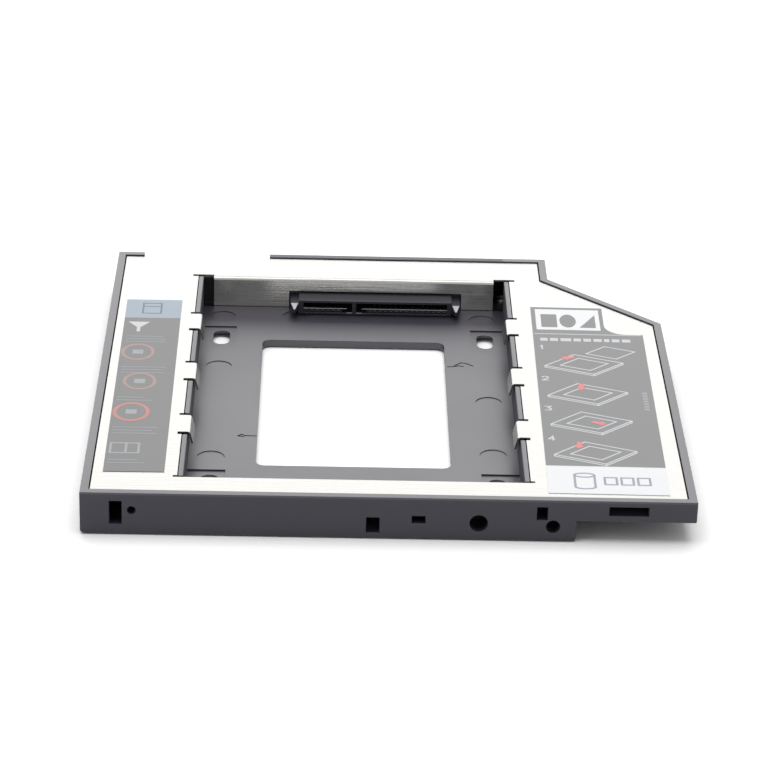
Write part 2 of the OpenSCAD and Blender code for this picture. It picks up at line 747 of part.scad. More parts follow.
// A low self-tapping screw with a cross recess
module board_screw(at) {
    color("#9a9894") place() translate([at[0], at[1], board_z]) {
        difference() {
            rotate_extrude() polygon([
                [0, 0], [screw_head_r, 0], [screw_head_r, screw_head_h * 0.45],
                [screw_head_r * 0.8, screw_head_h * 0.85], [screw_head_r * 0.4, screw_head_h], [0, screw_head_h]
            ]);
            for (turn = [0, 90]) rotate(turn)
                translate([-screw_head_r * 0.55, -0.2, screw_head_h * 0.4])
                    cube([screw_head_r * 1.1, 0.4, screw_head_h]);
        }
        translate([0, 0, 0.2 - board_z]) cylinder(r = screw_r, h = board_z - 0.2 + touch);
    }
}

// A chip on the board, by its middle
module chip(x, y, size) translate([x - size[0] / 2, y - size[1] / 2, board_z]) cube(size);

module supply_capacitor(y) color("#a98c68") place() chip(chip_x, y, capacitor_size);
module presence_resistor() color("#1c1c1e") place() chip(chip_x, board_y + board_d - 1.9, resistor_size);

// A label on the plate, tilted about its near left corner
module on_plate(x, y, tilt) place() translate([x, y, plate_top]) rotate(tilt) linear_extrude(label_t) children();

module left_label() {
    m = left_label_margins;
    size = [plate_bay_x - m[2] - m[0], tray_d - m[3] - m[1]];
    color("#969598") on_plate(m[0], m[1], left_label_tilt) square(size);
}

module right_label() {
    m = right_label_margins;
    x = plate_bay_end_x + m[0];
    w = tray_w - m[2] - x;
    l = tray_d - m[3] - m[1];
    neck = w - right_label_cut_w;
    r = right_label_cut_r;
    cut_y = l - right_label_cut_l;
    color("#969598") on_plate(x, m[1], right_label_tilt) {
        difference() {
            square([w, l]);
            translate([neck + r, cut_y]) square([w, l]);
            translate([neck, cut_y + r]) square([w, l]);
            translate([neck + r, cut_y + r]) circle(r);
        }
    }
}

tray();
top_plate();
circuit_board();
drive_socket();
host_plug();
drive_socket_clip_left();
drive_socket_clip_right();
host_plug_clip_left();
host_plug_clip_right();
board_screw(screw_left);  // board_screw_left
board_screw(screw_right);  // board_screw_right
supply_capacitor(capacitor_y[0]);  // supply_capacitor_1
supply_capacitor(capacitor_y[1]);  // supply_capacitor_2
presence_resistor();
left_label();
right_label();
for (i = [1:drive_signal_count])
    drive_contact(drive_signal_x(i - 1));
for (i = [1:drive_power_count])
    drive_contact(drive_power_x(i - 1));
for (i = [1:host_signal_count])
    host_contact(host_signal_x(i - 1));
for (i = [1:host_power_count])
    host_contact(host_power_x(i - 1));
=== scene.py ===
# %% [markdown]
# A slim drive caddy, photographed on white.
# The real object is a black moulded tray, one folded bright sheet, two small connectors and two
# printed stickers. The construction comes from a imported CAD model, which is loaded here as a fixed
# frame. This notebook gives every surface its finish and adds the fine things that a mould, a press
# and a printing machine leave behind.

# %% Load the frame
import math
import random

import bmesh
import bpy
from mathutils import Matrix, Vector


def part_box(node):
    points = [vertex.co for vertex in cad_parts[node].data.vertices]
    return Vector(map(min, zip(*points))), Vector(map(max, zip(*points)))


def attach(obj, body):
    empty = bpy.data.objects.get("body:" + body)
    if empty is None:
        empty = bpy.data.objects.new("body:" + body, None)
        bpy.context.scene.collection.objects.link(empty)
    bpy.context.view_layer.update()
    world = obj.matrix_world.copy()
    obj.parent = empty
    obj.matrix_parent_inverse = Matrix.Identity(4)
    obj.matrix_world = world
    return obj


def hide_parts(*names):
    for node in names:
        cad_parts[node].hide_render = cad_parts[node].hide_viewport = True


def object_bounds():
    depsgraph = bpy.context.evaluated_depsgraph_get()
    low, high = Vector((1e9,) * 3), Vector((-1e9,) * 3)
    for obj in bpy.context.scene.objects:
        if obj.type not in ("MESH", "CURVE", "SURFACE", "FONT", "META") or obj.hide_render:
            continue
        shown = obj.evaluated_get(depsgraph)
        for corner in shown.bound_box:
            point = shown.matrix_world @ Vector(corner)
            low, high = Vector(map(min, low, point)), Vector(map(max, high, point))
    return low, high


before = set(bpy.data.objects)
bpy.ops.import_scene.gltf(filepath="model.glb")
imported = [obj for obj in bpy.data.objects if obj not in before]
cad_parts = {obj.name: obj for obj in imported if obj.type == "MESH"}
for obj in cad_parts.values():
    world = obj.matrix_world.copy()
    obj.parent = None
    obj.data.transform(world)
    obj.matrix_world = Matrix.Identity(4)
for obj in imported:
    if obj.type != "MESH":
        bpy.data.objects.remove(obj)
cad_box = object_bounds()
print("nodes in the frame:", len(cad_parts))

# %% [markdown]
# One ruler for the whole notebook. The sizes below are written in millimetres from the caddy's front
# left lower corner: x to the right, y to the rear, z up. The frame counts in metres from the point
# under the caddy's middle, so one small function takes a maker's point to a place in the frame.

# %% A ruler in millimetres
MM = 0.001


def at(x, y, z):
    """A point in millimetres from the front left lower corner, as a place in the frame."""
    return Vector((cad_box[0].x + x * MM, cad_box[0].y + y * MM, cad_box[0].z + z * MM))


def ruler(point):
    """A place in the frame, in millimetres from the front left lower corner."""
    return (Vector(point) - cad_box[0]) / MM


CADDY_W, CADDY_D, CADDY_H = ruler(cad_box[1])
print("caddy in mm:", round(CADDY_W, 2), round(CADDY_D, 2), round(CADDY_H, 2))

# %% [markdown]
# The camera stands about 0.7 m in front of the caddy and looks down on it at 25 degrees. Its place
# was worked out from the corners of the tray, the bay and the floor window, whose real sizes are
# known. A long lens keeps the rear almost as wide as the front, as in the photograph.

# %% Place the camera
CAMERA_PLACE = (50.242, -585.472, 315.034)
CAMERA_TURN, CAMERA_TILT, CAMERA_ROLL = -1.19676, 64.46382, 1.55457
SENSOR_MM = 36.0
LENS_MM = 149.42

camera_data = bpy.data.cameras.new("studio_camera")
camera_data.sensor_width = SENSOR_MM
camera_data.lens = LENS_MM
camera_data.clip_start = 0.01
camera = bpy.data.objects.new("studio_camera", camera_data)
camera.matrix_world = (
    Matrix.Translation(at(*CAMERA_PLACE))
    @ Matrix.Rotation(math.radians(CAMERA_TURN), 4, "Z")
    @ Matrix.Rotation(math.radians(CAMERA_TILT), 4, "X")
    @ Matrix.Rotation(math.radians(CAMERA_ROLL), 4, "Z")
)
bpy.context.scene.collection.objects.link(camera)
bpy.context.scene.camera = camera
bpy.context.scene.view_settings.view_transform = "Standard"
print("camera height in mm:", round(camera.location.z / MM, 1))

# %% [markdown]
# Two helpers carry all the materials. Colours are written as sRGB hex values, the way a printer or a
# picture editor names them, and one function turns them into the linear values that light needs.
# The other adds one node with its settings, and takes for each socket a value or the output that
# feeds it.

# %% Colour and node helpers
def linear(code):
    """An sRGB hex colour as linear red, green, blue and alpha."""
    channels = [int(code[i:i + 2], 16) / 255 for i in (1, 3, 5)]
    return (*[c / 12.92 if c <= 0.04045 else ((c + 0.055) / 1.055) ** 2.4 for c in channels], 1.0)


def add(tree, kind, sockets=None, **settings):
    """Adds a node; sockets gives each input a value, or the output that feeds it."""
    node = tree.nodes.new(kind)
    for name, value in settings.items():
        setattr(node, name, value)
    for key, value in (sockets or {}).items():
        if isinstance(value, bpy.types.NodeSocket):
            tree.links.new(value, node.inputs[key])
        else:
            node.inputs[key].default_value = value
    return node


def start_material(name):
    """A new material with its node tree, its Principled shader and its object coordinates."""
    material = bpy.data.materials.new(name)
    material.use_nodes = True
    tree = material.node_tree
    shader = tree.nodes["Principled BSDF"]
    place = add(tree, "ShaderNodeTexCoord").outputs["Object"]
    return material, tree, shader, place


def per_metre(size_mm):
    """A texture's scale for features of this size in millimetres."""
    return 1.0 / (size_mm * MM)


def two_tones(tree, factor, first, second):
    """A colour that drifts between two hex values."""
    mix = add(tree, "ShaderNodeMix", {"Factor": factor}, data_type="RGBA")
    mix.inputs["A"].default_value = linear(first)
    mix.inputs["B"].default_value = linear(second)
    return mix.outputs["Result"]


def drift(tree, source, low, high):
    """A value that follows a texture between a low and a high end."""
    return add(tree, "ShaderNodeMapRange", {"Value": source, "To Min": low, "To Max": high}).outputs["Result"]


print("white paper is", [round(c, 3) for c in linear("#f4f4f2")])

# %% [markdown]
# The studio: a white floor that runs past the edge of the picture, a white world and three soft
# panels. The floor is a little brighter to the eye than to the caddy, as on an overexposed product
# table, so open floor is pure white and only the close shadow is left. The panel behind the caddy
# puts the grey sheen on the black plastic, because plastic seen at a flat angle mirrors what stands
# behind it.

# %% Floor, world and lights
FLOOR_HALF = 3.0
FLOOR_GAP_MM = 0.25

floor_mesh = bpy.data.meshes.new("studio_floor")
floor_z = cad_box[0].z - FLOOR_GAP_MM * MM
corners = [(x * FLOOR_HALF, y * FLOOR_HALF, floor_z) for x, y in ((-1, -1), (1, -1), (1, 1), (-1, 1))]
floor_mesh.from_pydata(corners, [], [(0, 1, 2, 3)])
floor = bpy.data.objects.new("studio_floor", floor_mesh)
bpy.context.scene.collection.objects.link(floor)


FLOOR_SEEN = 1.4
FLOOR_LIT = 0.9


def white_floor():
    """Matt white paper, brighter to the eye and in a mirror than to the light that bounces off it."""
    material = bpy.data.materials.new("white_floor_paper")
    material.use_nodes = True
    tree = material.node_tree
    tree.nodes.clear()
    bounce = add(tree, "ShaderNodeLightPath").outputs["Is Diffuse Ray"]
    tone = add(tree, "ShaderNodeMapRange", {"Value": bounce, "To Min": FLOOR_SEEN, "To Max": FLOOR_LIT})
    paper = add(tree, "ShaderNodeBsdfDiffuse", {"Color": tone.outputs["Result"]})
    add(tree, "ShaderNodeOutputMaterial", {"Surface": paper.outputs[0]})
    return material


floor_mesh.materials.append(white_floor())

WORLD_ON_OBJECT = 0.26

world = bpy.data.worlds.new("white_studio")
bpy.context.scene.world = world
world.use_nodes = True
world.node_tree.nodes.clear()
diffuse_ray = add(world.node_tree, "ShaderNodeLightPath").outputs["Is Diffuse Ray"]
level = add(
    world.node_tree, "ShaderNodeMapRange",
    {"Value": diffuse_ray, "To Min": 1.0, "To Max": WORLD_ON_OBJECT},
)
sky = add(
    world.node_tree, "ShaderNodeBackground",
    {"Color": (1, 1, 1, 1), "Strength": level.outputs["Result"]},
)
add(world.node_tree, "ShaderNodeOutputWorld", {"Surface": sky.outputs[0]})


def soft_panel(name, place_mm, aim_mm, width, height, power):
    """A rectangular studio panel that faces a point on the caddy."""
    data = bpy.data.lights.new(name, "AREA")
    data.shape = "RECTANGLE"
    data.size, data.size_y = width, height
    data.energy = power
    lamp = bpy.data.objects.new(name, data)
    lamp.location = at(*place_mm)
    lamp.rotation_euler = (at(*aim_mm) - at(*place_mm)).to_track_quat("-Z", "Y").to_euler()
    bpy.context.scene.collection.objects.link(lamp)
    return lamp


middle = (CADDY_W / 2, CADDY_D / 2, CADDY_H)
soft_panel("rear_panel", (64, 1500, 600), middle, 2.0, 1.1, 10.5)
soft_panel("top_panel", (64, 100, 1200), middle, 1.1, 1.1, 8.6)
soft_panel("left_panel", (-900, -400, 700), middle, 0.8, 0.8, 1.2)

# %% [markdown]
# The tray is ABS, moulded black against spark-eroded steel. That leaves a fine matt grain of about
# 0.1 mm, which is too fine for this picture, so it is drawn at 0.3 mm and kept faint. The core of the
# mould that forms the bay was polished for release, so the bay's floor has more sheen than the rest,
# and so have the tops of the rim and the bay's walls, which hands and the laptop's bay have rubbed. The
# plastic cools unevenly, so its gloss drifts a little over distances of a few centimetres.

# %% Black ABS for the tray
GRAIN_MM = 0.3
COOLING_MM = 22.0


BAY_SIDES = (21.0, 92.5)
BAY_ENDS = (8.1, 112.5)
POLISHED_UP_TO = (1.9, 2.2)
RUBBED_FROM = (8.95, 9.15)
RUBBED_SHINE = 0.65


def ramp(tree, value, start, end):
    """0 up to the start and 1 from the end on, both given in metres."""
    return add(tree, "ShaderNodeMapRange", {"Value": value, "From Min": start, "From Max": end}).outputs["Result"]


def inside_bay(tree, parts):
    """1 between the bay's walls and 0 on the rest of the tray."""
    soft = 0.3
    product = ramp(tree, parts["X"], at(BAY_SIDES[0] - soft, 0, 0).x, at(BAY_SIDES[0], 0, 0).x)
    for mask in (
        ramp(tree, parts["X"], at(BAY_SIDES[1] + soft, 0, 0).x, at(BAY_SIDES[1], 0, 0).x),
        ramp(tree, parts["Y"], at(0, BAY_ENDS[0] - soft, 0).y, at(0, BAY_ENDS[0], 0).y),
    ):
        product = add(tree, "ShaderNodeMath", {0: product, 1: mask}, operation="MULTIPLY").outputs[0]
    return product


def spark_eroded_abs():
    """Charcoal black plastic with a fine eroded grain and a soft sheen."""
    material, tree, shader, place = start_material("spark_eroded_abs")
    parts = add(tree, "ShaderNodeSeparateXYZ", {"Vector": place}).outputs
    bay = inside_bay(tree, parts)
    low = ramp(tree, parts["Z"], at(0, 0, POLISHED_UP_TO[1]).z, at(0, 0, POLISHED_UP_TO[0]).z)
    floor_polish = add(tree, "ShaderNodeMath", {0: bay, 1: low}, operation="MULTIPLY").outputs[0]
    crest = ramp(tree, parts["Z"], at(0, 0, RUBBED_FROM[0]).z, at(0, 0, RUBBED_FROM[1]).z)
    rubbed = add(tree, "ShaderNodeMath", {0: crest, 1: RUBBED_SHINE}, operation="MULTIPLY").outputs[0]
    polish = add(tree, "ShaderNodeMath", {0: floor_polish, 1: rubbed}, operation="MAXIMUM").outputs[0]
    sheen = add(tree, "ShaderNodeMapRange", {"Value": polish, "To Min": 0.55, "To Max": 0.95}).outputs["Result"]
    tree.links.new(sheen, shader.inputs["Specular IOR Level"])
    grain = add(tree, "ShaderNodeTexNoise", {"Vector": place, "Scale": per_metre(GRAIN_MM), "Detail": 2.0})
    cooling = add(tree, "ShaderNodeTexNoise", {"Vector": place, "Scale": per_metre(COOLING_MM), "Detail": 3.0})
    colour = two_tones(tree, cooling.outputs["Fac"], "#2a2732", "#322f3b")
    tree.links.new(colour, shader.inputs["Base Color"])
    eroded = drift(tree, cooling.outputs["Fac"], 0.46, 0.56)
    matt_walls = add(tree, "ShaderNodeMath", {0: bay, 1: 0.2, 2: eroded}, operation="MULTIPLY_ADD")
    smoother = add(
        tree, "ShaderNodeMath", {0: polish, 1: -0.3, 2: matt_walls.outputs[0]}, operation="MULTIPLY_ADD",
    )
    tree.links.new(smoother.outputs[0], shader.inputs["Roughness"])
    relief = add(
        tree, "ShaderNodeBump",
        {"Height": grain.outputs["Fac"], "Strength": 0.12, "Distance": 0.02 * MM},
    )
    tree.links.new(relief.outputs["Normal"], shader.inputs["Normal"])
    shader.inputs["IOR"].default_value = 1.53
    return material


tray_abs = spark_eroded_abs()
print("material:", tray_abs.name)

# %% [markdown]
# The plate is cold-rolled steel, 0.4 mm thick and tin plated. Rolling leaves fine lines along the
# sheet, so it mirrors sharply along the lines and blurs across them. The fold springs back by a few
# degrees after the press, so the flange looks slightly upwards and mirrors the white seen through the
# floor window. A slope along z in the bump tilts upright faces only and leaves the flat top alone.

# %% Tin plated sheet steel
ROLL_LINE_MM = 0.35
ROLL_LENGTH_MM = 14.0
WAVINESS_MM = 9.0
SPRING_BACK = 0.08


def tinned_sheet_steel():
    """Bright tin plated sheet with faint rolling lines along its width."""
    material, tree, shader, place = start_material("tinned_sheet_steel")
    stretched = add(
        tree, "ShaderNodeMapping",
        {"Vector": place, "Scale": (ROLL_LINE_MM / ROLL_LENGTH_MM, 1.0, 1.0)},
    )
    lines = add(
        tree, "ShaderNodeTexNoise",
        {"Vector": stretched.outputs["Vector"], "Scale": per_metre(ROLL_LINE_MM), "Detail": 3.0},
    )
    waves = add(tree, "ShaderNodeTexNoise", {"Vector": place, "Scale": per_metre(WAVINESS_MM), "Detail": 1.0})
    colour = two_tones(tree, lines.outputs["Fac"], "#a3a29f", "#afaeab")
    tree.links.new(colour, shader.inputs["Base Color"])
    tree.links.new(drift(tree, lines.outputs["Fac"], 0.15, 0.24), shader.inputs["Roughness"])
    height = add(tree, "ShaderNodeSeparateXYZ", {"Vector": place}).outputs["Z"]
    lean = add(tree, "ShaderNodeBump", {"Height": height, "Strength": 1.0, "Distance": SPRING_BACK}, invert=True)
    broad = add(
        tree, "ShaderNodeBump",
        {"Height": waves.outputs["Fac"], "Strength": 0.5, "Distance": 0.15 * MM, "Normal": lean.outputs["Normal"]},
    )
    fine = add(
        tree, "ShaderNodeBump",
        {"Height": lines.outputs["Fac"], "Strength": 1.0, "Distance": 0.04 * MM, "Normal": broad.outputs["Normal"]},
    )
    tree.links.new(fine.outputs["Normal"], shader.inputs["Normal"])
    shader.inputs["Metallic"].default_value = 1.0
    across = add(tree, "ShaderNodeTangent", direction_type="RADIAL", axis="X")
    tree.links.new(across.outputs["Tangent"], shader.inputs["Tangent"])
    shader.inputs["Anisotropic"].default_value = 0.85
    return material


plate_steel = tinned_sheet_steel()
print("material:", plate_steel.name)

# %% [markdown]
# Both connectors are glass-filled nylon, moulded black in polished steel. It is smoother than the
# tray and a little bluer, and the glass fibres show as a very faint mottle.

# %% Connector nylon
FIBRE_MM = 0.6


def glass_filled_nylon():
    """Smooth black connector plastic with a faint fibre mottle."""
    material, tree, shader, place = start_material("glass_filled_nylon")
    fibres = add(tree, "ShaderNodeTexNoise", {"Vector": place, "Scale": per_metre(FIBRE_MM), "Detail": 4.0})
    colour = two_tones(tree, fibres.outputs["Fac"], "#24232a", "#2d2c34")
    tree.links.new(colour, shader.inputs["Base Color"])
    tree.links.new(drift(tree, fibres.outputs["Fac"], 0.34, 0.44), shader.inputs["Roughness"])
    relief = add(
        tree, "ShaderNodeBump",
        {"Height": fibres.outputs["Fac"], "Strength": 0.08, "Distance": 0.01 * MM},
    )
    tree.links.new(relief.outputs["Normal"], shader.inputs["Normal"])
    shader.inputs["IOR"].default_value = 1.56
    return material


socket_nylon = glass_filled_nylon()
print("material:", socket_nylon.name)

# %% [markdown]
# The small metals. The host plug's contacts are bronze with a flash of gold, the drive socket's are
# nickel plated, hold-downs are tin plated and the screws zinc plated steel. They differ in colour and
# in how dull they are, so one function makes them all from those values.

# %% Small metal finishes
MOTTLE_MM = 0.5


def plated_metal(name, dull, bright, smooth, rough):
    """A plated metal whose tone and dullness drift together over half a millimetre."""
    material, tree, shader, place = start_material(name)
    mottle = add(tree, "ShaderNodeTexNoise", {"Vector": place, "Scale": per_metre(MOTTLE_MM), "Detail": 3.0})
    tree.links.new(two_tones(tree, mottle.outputs["Fac"], dull, bright), shader.inputs["Base Color"])
    tree.links.new(drift(tree, mottle.outputs["Fac"], smooth, rough), shader.inputs["Roughness"])
    shader.inputs["Metallic"].default_value = 1.0
    return material


contact_gold = plated_metal("gold_flashed_bronze", "#c39a4c", "#e3c27a", 0.20, 0.34)
contact_nickel = plated_metal("nickel_plated_bronze", "#8f8d8a", "#b0aeaa", 0.24, 0.38)
hold_down_tin = plated_metal("matt_tin", "#b3b2ad", "#cfcec9", 0.34, 0.48)
screw_zinc = plated_metal("zinc_plated_steel", "#9b9a97", "#bab9b6", 0.30, 0.46)
solder_tin = plated_metal("bright_solder", "#c4c4c2", "#dededc", 0.16, 0.28)
print("metals:", contact_gold.name, hold_down_tin.name, screw_zinc.name, solder_tin.name)

# %% [markdown]
# The board is glass-epoxy laminate under black solder mask, so that nothing pale shows through the
# gaps beside the flange. Copper tracks lift the mask slightly and show as greyer, raised strips. A
# brick pattern with wide bricks and thin joints gives the tracks.

# %% Solder mask on laminate
TRACK_MM = 1.1


def solder_mask():
    """Black solder mask over copper tracks that run along the board."""
    material, tree, shader, place = start_material("black_solder_mask")
    tracks = add(
        tree, "ShaderNodeTexBrick",
        {
            "Vector": place, "Scale": per_metre(TRACK_MM), "Mortar Size": 0.16, "Mortar Smooth": 0.3,
            "Brick Width": 9.0, "Row Height": 0.9,
        },
    )
    tree.links.new(two_tones(tree, tracks.outputs["Fac"], "#2f3233", "#15171a"), shader.inputs["Base Color"])
    relief = add(
        tree, "ShaderNodeBump",
        {"Height": tracks.outputs["Fac"], "Strength": 0.4, "Distance": 0.03 * MM},
        invert=True,
    )
    tree.links.new(relief.outputs["Normal"], shader.inputs["Normal"])
    shader.inputs["Roughness"].default_value = 0.28
    shader.inputs["IOR"].default_value = 1.5
    return material


def fired_ceramic(name, dark, pale):
    """The matt body of a chip part, speckled by its grains."""
    material, tree, shader, place = start_material(name)
    grains = add(tree, "ShaderNodeTexNoise", {"Vector": place, "Scale": per_metre(0.12), "Detail": 4.0})
    tree.links.new(two_tones(tree, grains.outputs["Fac"], dark, pale), shader.inputs["Base Color"])
    tree.links.new(drift(tree, grains.outputs["Fac"], 0.45, 0.6), shader.inputs["Roughness"])
    return material


board_mask = solder_mask()
capacitor_body = fired_ceramic("capacitor_ceramic", "#8f7350", "#b0926a")
resistor_body = fired_ceramic("resistor_glaze", "#121214", "#222226")
print("board materials:", board_mask.name, capacitor_body.name, resistor_body.name)

# %% [markdown]
# The stickers are coated paper printed by offset. The coat gives a weak satin gloss, the paper a
# faint cloud of tone. Inks take the same gloss, so one function makes the bare papers and every ink
# from its colour.

# %% Sticker paper and inks
PAPER_CLOUD_MM = 1.6


def coated_print(name, code, lift=0.03):
    """A printed or bare spot of coated paper, with the paper's cloudiness showing through."""
    material, tree, shader, place = start_material(name)
    cloud = add(tree, "ShaderNodeTexNoise", {"Vector": place, "Scale": per_metre(PAPER_CLOUD_MM), "Detail": 5.0})
    base = linear(code)
    mix = add(tree, "ShaderNodeMix", {"Factor": cloud.outputs["Fac"]}, data_type="RGBA")
    mix.inputs["A"].default_value = (*[c * (1 - lift) for c in base[:3]], 1.0)
    mix.inputs["B"].default_value = (*[min(1.0, c * (1 + lift)) for c in base[:3]], 1.0)
    tree.links.new(mix.outputs["Result"], shader.inputs["Base Color"])
    tree.links.new(drift(tree, cloud.outputs["Fac"], 0.42, 0.55), shader.inputs["Roughness"])
    shader.inputs["Specular IOR Level"].default_value = 0.25
    return material


grey_print = coated_print("smoke_grey_print", "#8b8b8b")
white_paper = coated_print("white_label_paper", "#fbfcfe", 0.01)
field_print = coated_print("neutral_grey_print", "#919192")
header_ink = coated_print("pale_blue_ink", "#aebac7")
icon_ink = coated_print("slate_ink", "#7d8794")
pale_ink = coated_print("pale_grey_ink", "#adb0b4")
faint_ink = coated_print("faint_grey_ink", "#9da0a4")
ring_ink = coated_print("faded_red_ink", "#b59896")
warm_ring_ink = coated_print("orange_red_ink", "#cf8f86")
line_ink = coated_print("off_white_ink", "#dcdde0", 0.01)
arrow_ink = coated_print("coral_ink", "#f0908f")
lilac_ink = coated_print("lilac_grey_ink", "#a9aab8")
print("inks ready:", header_ink.name, "to", lilac_ink.name)

# %% [markdown]
# Carried-over CAD nodes keep their shape and take the better finish in their own material slots. The
# contacts come in numbered rows, so they are dressed by the start of their names.

# %% Dress the carried-over nodes
FINISH_BY_NAME = {
    "top_plate": plate_steel,
    "circuit_board": board_mask,
    "drive_socket_clip": hold_down_tin,
    "host_plug_clip": hold_down_tin,
    "board_screw": screw_zinc,
    "supply_capacitor": capacitor_body,
    "presence_resistor": resistor_body,
    "left_label": grey_print,
    "right_label": white_paper,
    "drive_signal_contact": contact_nickel,
    "drive_power_contact": contact_nickel,
    "host_signal_contact": contact_gold,
    "host_power_contact": contact_gold,
    "tray": tray_abs,
    "drive_socket": socket_nylon,
    "host_plug": socket_nylon,
}


def finish_for(node_name):
    """The finish whose name is the longest start of the node's name."""
    starts = [key for key in FINISH_BY_NAME if node_name.startswith(key)]
    return FINISH_BY_NAME[max(starts, key=len)]


for node_name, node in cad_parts.items():
    for material_slot in node.material_slots:
        material_slot.material = finish_for(node_name)
print("dressed nodes:", len(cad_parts))

# %% [markdown]
# A moulded edge is never perfectly sharp: the steel it was moulded in has a small radius, and that
# radius catches the light as a thin bright line. The CAD solids have sharp edges, so the tray and the
# two connectors are copied, their loose triangles merged into clean faces, and every outer edge with
# enough room beside it is rounded a little. The copy then stands for the node.

# %% Round the moulded edges
FLAT_WITHIN = math.radians(0.3)
SHARP_OVER = math.radians(35)
SMOOTH_WITHIN = math.radians(12)
ROOM_IN_RADII = 3.0


def reach(face, edge):
    """How far a face reaches away from one of its edges."""
    start = edge.verts[0].co
    along = (edge.verts[1].co - start).normalized()
    return max(((v.co - start) - (v.co - start).dot(along) * along).length for v in face.verts)


def has_room(edge, radius):
    """True for an outer corner whose two faces are wide enough for this radius."""
    if len(edge.link_faces) != 2 or not edge.is_convex or edge.calc_face_angle() < SHARP_OVER:
        return False
    return all(reach(face, edge) > ROOM_IN_RADII * radius for face in edge.link_faces)


def is_curved(face):
    """True for a strip of a curved surface; faces square to the tray keep one flat normal."""
    if len(face.verts) > 4 or max(abs(c) for c in face.normal) > 0.9999:
        return False
    turns = [e.calc_face_angle() for e in face.edges if len(e.link_faces) == 2]
    return any(FLAT_WITHIN < turn < SMOOTH_WITHIN for turn in turns)


def softened(node_name, piece_name, radius_mm, material):
    """A copy of a moulded node with its outer edges rounded, which stands for the node."""
    shape = bmesh.new()
    shape.from_mesh(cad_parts[node_name].data)
    bmesh.ops.remove_doubles(shape, verts=shape.verts, dist=0.001 * MM)
    bmesh.ops.dissolve_limit(shape, angle_limit=FLAT_WITHIN, verts=shape.verts, edges=shape.edges)
    shape.normal_update()
    radius = radius_mm * MM
    chosen = [edge for edge in shape.edges if has_room(edge, radius)]
    bmesh.ops.bevel(
        shape, geom=chosen, offset=radius, offset_type="OFFSET", segments=2, profile=0.5,
        affect="EDGES", clamp_overlap=False,
    )
    shape.normal_update()
    for face in shape.faces:
        face.smooth = is_curved(face)
    for edge in shape.edges:
        edge.smooth = len(edge.link_faces) == 2 and edge.calc_face_angle() < SMOOTH_WITHIN
    bmesh.ops.triangulate(shape, faces=[f for f in shape.faces if len(f.verts) > 4])
    mesh = bpy.data.meshes.new(piece_name)
    shape.to_mesh(mesh)
    shape.free()
    mesh.materials.append(material)
    piece = bpy.data.objects.new(piece_name, mesh)
    bpy.context.scene.collection.objects.link(piece)
    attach(piece, "root")
    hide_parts(node_name)
    print(piece_name, "rounded", len(chosen), "edges,", len(mesh.polygons), "faces")
    return piece


softened("tray", "moulded_tray", 0.12, tray_abs)
softened("drive_socket", "moulded_drive_socket", 0.11, socket_nylon)
softened("host_plug", "moulded_host_plug", 0.09, socket_nylon)

# %% [markdown]
# Print is two kinds of marks: filled patches and lines. A patch is an outline raised by the height of
# an ink film. All the lines on both stickers repeat one thing, a straight bar of ink, so a Geometry
# Nodes tree puts a bar on every edge of a wire mesh. Real ink is 0.005 mm high; the marks here are a
# few times that, so that layers don't share a plane.

# %% A tree that inks every edge
def line_work_tree():
    """Geometry Nodes: a flat bar on each edge, with heights that differ so no two tops share a plane."""
    tree = bpy.data.node_groups.new("line_work", "GeometryNodeTree")
    face = tree.interface
    face.new_socket("Wire", in_out="INPUT", socket_type="NodeSocketGeometry")
    face.new_socket("Line width", in_out="INPUT", socket_type="NodeSocketFloat")
    face.new_socket("Film height", in_out="INPUT", socket_type="NodeSocketFloat")
    face.new_socket("Ink", in_out="INPUT", socket_type="NodeSocketMaterial")
    face.new_socket("Print", in_out="OUTPUT", socket_type="NodeSocketGeometry")
    given = add(tree, "NodeGroupInput").outputs
    ends = add(tree, "GeometryNodeInputMeshEdgeVertices").outputs
    along = add(
        tree, "ShaderNodeVectorMath", {0: ends["Position 2"], 1: ends["Position 1"]}, operation="SUBTRACT",
    )
    keep = tree.nodes.new("GeometryNodeCaptureAttribute")
    keep.domain = "EDGE"
    keep.capture_items.new("VECTOR", "Along")
    tree.links.new(given["Wire"], keep.inputs["Geometry"])
    tree.links.new(along.outputs[0], keep.inputs["Along"])
    middles = add(tree, "GeometryNodeMeshToPoints", {"Mesh": keep.outputs["Geometry"]}, mode="EDGES")
    length = add(tree, "ShaderNodeVectorMath", {0: keep.outputs["Along"]}, operation="LENGTH")
    full = add(tree, "ShaderNodeMath", {0: length.outputs["Value"], 1: given["Line width"]}, operation="ADD")
    turn_number = add(tree, "ShaderNodeMath", {0: add(tree, "GeometryNodeInputIndex").outputs[0], 1: 7.0}, operation="MODULO")
    step = add(tree, "ShaderNodeMapRange", {"Value": turn_number.outputs[0], "From Max": 7.0, "To Min": 0.8, "To Max": 1.2})
    film = add(tree, "ShaderNodeMath", {0: step.outputs["Result"], 1: given["Film height"]}, operation="MULTIPLY")
    size = add(
        tree, "ShaderNodeCombineXYZ",
        {"X": full.outputs[0], "Y": given["Line width"], "Z": film.outputs[0]},
    )
    turn = add(tree, "FunctionNodeAlignRotationToVector", {"Vector": keep.outputs["Along"]}, axis="X", pivot_axis="Z")
    bar = add(tree, "GeometryNodeMeshCube", {"Size": (1.0, 1.0, 1.0)})
    bars = add(
        tree, "GeometryNodeInstanceOnPoints",
        {
            "Points": middles.outputs["Points"], "Instance": bar.outputs["Mesh"],
            "Rotation": turn.outputs["Rotation"], "Scale": size.outputs["Vector"],
        },
    )
    solid = add(tree, "GeometryNodeRealizeInstances", {"Geometry": bars.outputs["Instances"]})
    inked = add(
        tree, "GeometryNodeSetMaterial",
        {"Geometry": solid.outputs["Geometry"], "Material": given["Ink"]},
    )
    add(tree, "NodeGroupOutput", {"Print": inked.outputs["Geometry"]})
    return tree


